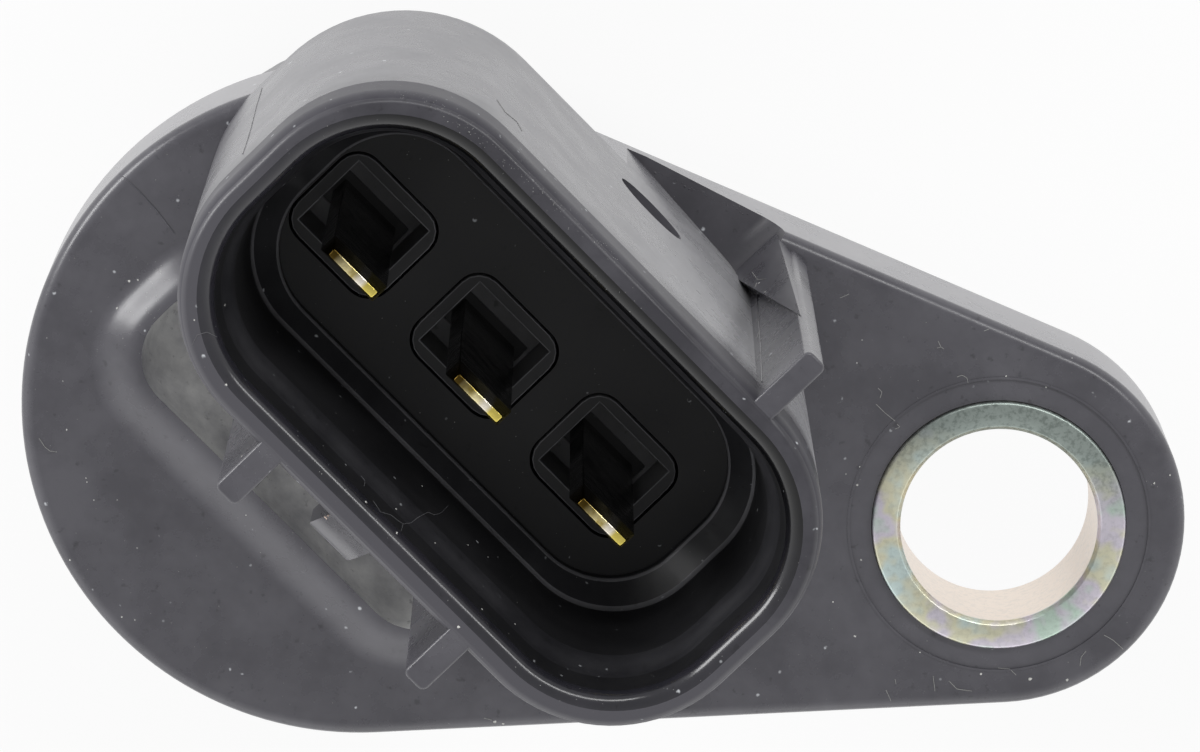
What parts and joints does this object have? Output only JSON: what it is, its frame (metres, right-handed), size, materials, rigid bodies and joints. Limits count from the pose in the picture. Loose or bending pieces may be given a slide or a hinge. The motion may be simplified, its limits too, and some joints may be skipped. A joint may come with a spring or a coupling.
{
  "type": "crankshaft position sensor",
  "caption": "Moulded speed sensor with a one-bolt flange, a sealed barrel with an O-ring, and an oval plug-in connector for the engine harness.",
  "frame": {"origin": "centre of the flat sensing face at the barrel's lower end", "axes": "+Z along the barrel from the sensing face to the connector's mouth; +X from the barrel's axis to the bolt hole"},
  "size_m": [0.0392, 0.0249, 0.0442],
  "materials": {
    "glass_filled_polymer": "satin moulded",
    "carrier_polymer": "satin moulded",
    "passivated_zinc_steel": "zinc plated and passivated",
    "cap_polymer": "satin moulded",
    "sealing_rubber": "matt",
    "circuit_epoxy": "matt moulded",
    "tinned_copper": "tin plated",
    "soft_iron": "ground",
    "sintered_magnet": "nickel plated",
    "gold_plated_bronze": "plated, bright",
    "capacitor_ceramic": "fired"
  },
  "bodies": {
    "root": {"sensor_housing": "glass_filled_polymer", "terminal_carrier": "carrier_polymer", "mounting_sleeve": "passivated_zinc_steel", "end_cap": "cap_polymer", "o_ring": "sealing_rubber", "hall_circuit": "circuit_epoxy", "flux_plate": "soft_iron", "back_magnet": "sintered_magnet", "terminal_1": "gold_plated_bronze", "terminal_2": "gold_plated_bronze", "terminal_3": "gold_plated_bronze", "ic_lead_1": "tinned_copper", "ic_lead_2": "tinned_copper", "ic_lead_3": "tinned_copper", "capacitor_1": "capacitor_ceramic", "capacitor_2": "capacitor_ceramic"}
  },
  "joints": []
}
